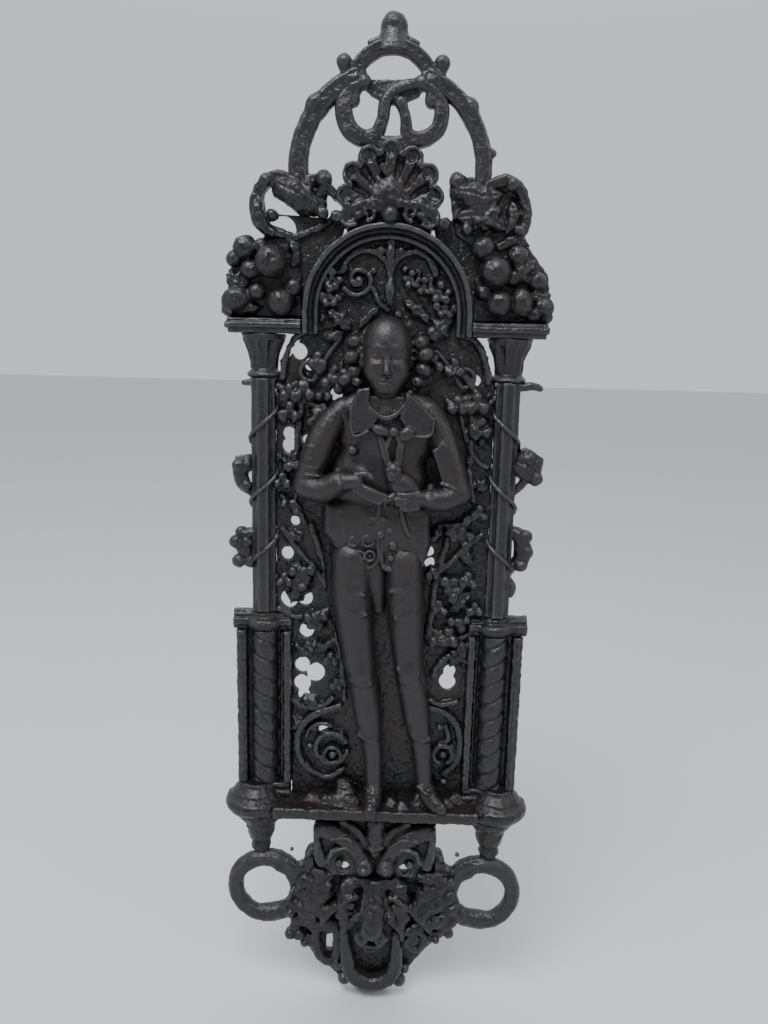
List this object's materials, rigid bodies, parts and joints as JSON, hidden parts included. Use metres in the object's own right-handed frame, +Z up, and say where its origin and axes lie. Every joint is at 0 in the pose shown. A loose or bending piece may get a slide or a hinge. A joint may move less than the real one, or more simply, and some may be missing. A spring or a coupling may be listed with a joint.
{
  "type": "door stop",
  "caption": "Cast-iron relief door stop or wall plaque: a boy holding a rabbit in a columned niche under a pierced crest",
  "frame": {"origin": "the lowest point of the plaque, in the plane of its back, on the centre line", "axes": "+Z up along the plaque, +Y towards the wall behind it, so the face looks along -Y; +X to the viewer's right"},
  "size_m": [0.1634, 0.026, 0.507],
  "materials": {
    "waxed_iron": "black waxed sand casting, satin",
    "handled_iron": "smooth handled bars, grey where rubbed",
    "figure_iron": "fine grained casting with rubbed high spots",
    "rusty_iron": "black iron with brown rust in the recesses and along cast edges"
  },
  "bodies": {
    "root": {"finial_knob": "handled_iron", "crest_ring": "handled_iron", "crest_scrolls": "handled_iron", "left_arch_bar": "handled_iron", "right_arch_bar": "handled_iron", "shell_crest": "waxed_iron", "keystone_boss": "waxed_iron", "left_acanthus": "waxed_iron", "right_acanthus": "waxed_iron", "canopy_arch": "handled_iron", "tympanum_tracery": "waxed_iron", "spandrel_plates": "rusty_iron", "left_fruit": "waxed_iron", "right_fruit": "waxed_iron", "left_entablature": "waxed_iron", "right_entablature": "waxed_iron", "left_capital": "waxed_iron", "right_capital": "waxed_iron", "left_column": "handled_iron", "right_column": "handled_iron", "left_column_vine": "waxed_iron", "right_column_vine": "waxed_iron", "left_pier_cap": "waxed_iron", "right_pier_cap": "waxed_iron", "left_twisted_pier": "handled_iron", "right_twisted_pier": "handled_iron", "left_pier_frame": "waxed_iron", "right_pier_frame": "waxed_iron", "left_pier_base": "waxed_iron", "right_pier_base": "waxed_iron", "niche_back": "rusty_iron", "left_grapevine": "waxed_iron", "right_grapevine": "waxed_iron", "left_rod_ring": "waxed_iron", "right_rod_ring": "waxed_iron", "left_rose_scroll": "waxed_iron", "right_rose_scroll": "waxed_iron", "platform": "rusty_iron", "boy_head": "figure_iron", "boy_hair": "figure_iron", "boy_collar": "figure_iron", "boy_doublet": "figure_iron", "left_sleeve": "figure_iron", "right_sleeve": "figure_iron", "rabbit": "figure_iron", "left_leg": "figure_iron", "right_leg": "figure_iron", "boy_shoes": "rusty_iron", "left_pendant": "rusty_iron", "right_pendant": "rusty_iron", "corbel_volutes": "handled_iron", "left_loop": "handled_iron", "right_loop": "handled_iron", "apron_plate": "rusty_iron", "mask": "waxed_iron", "left_lower_leaf": "waxed_iron", "right_lower_leaf": "waxed_iron", "beard_ring": "handled_iron"}
  },
  "joints": []
}
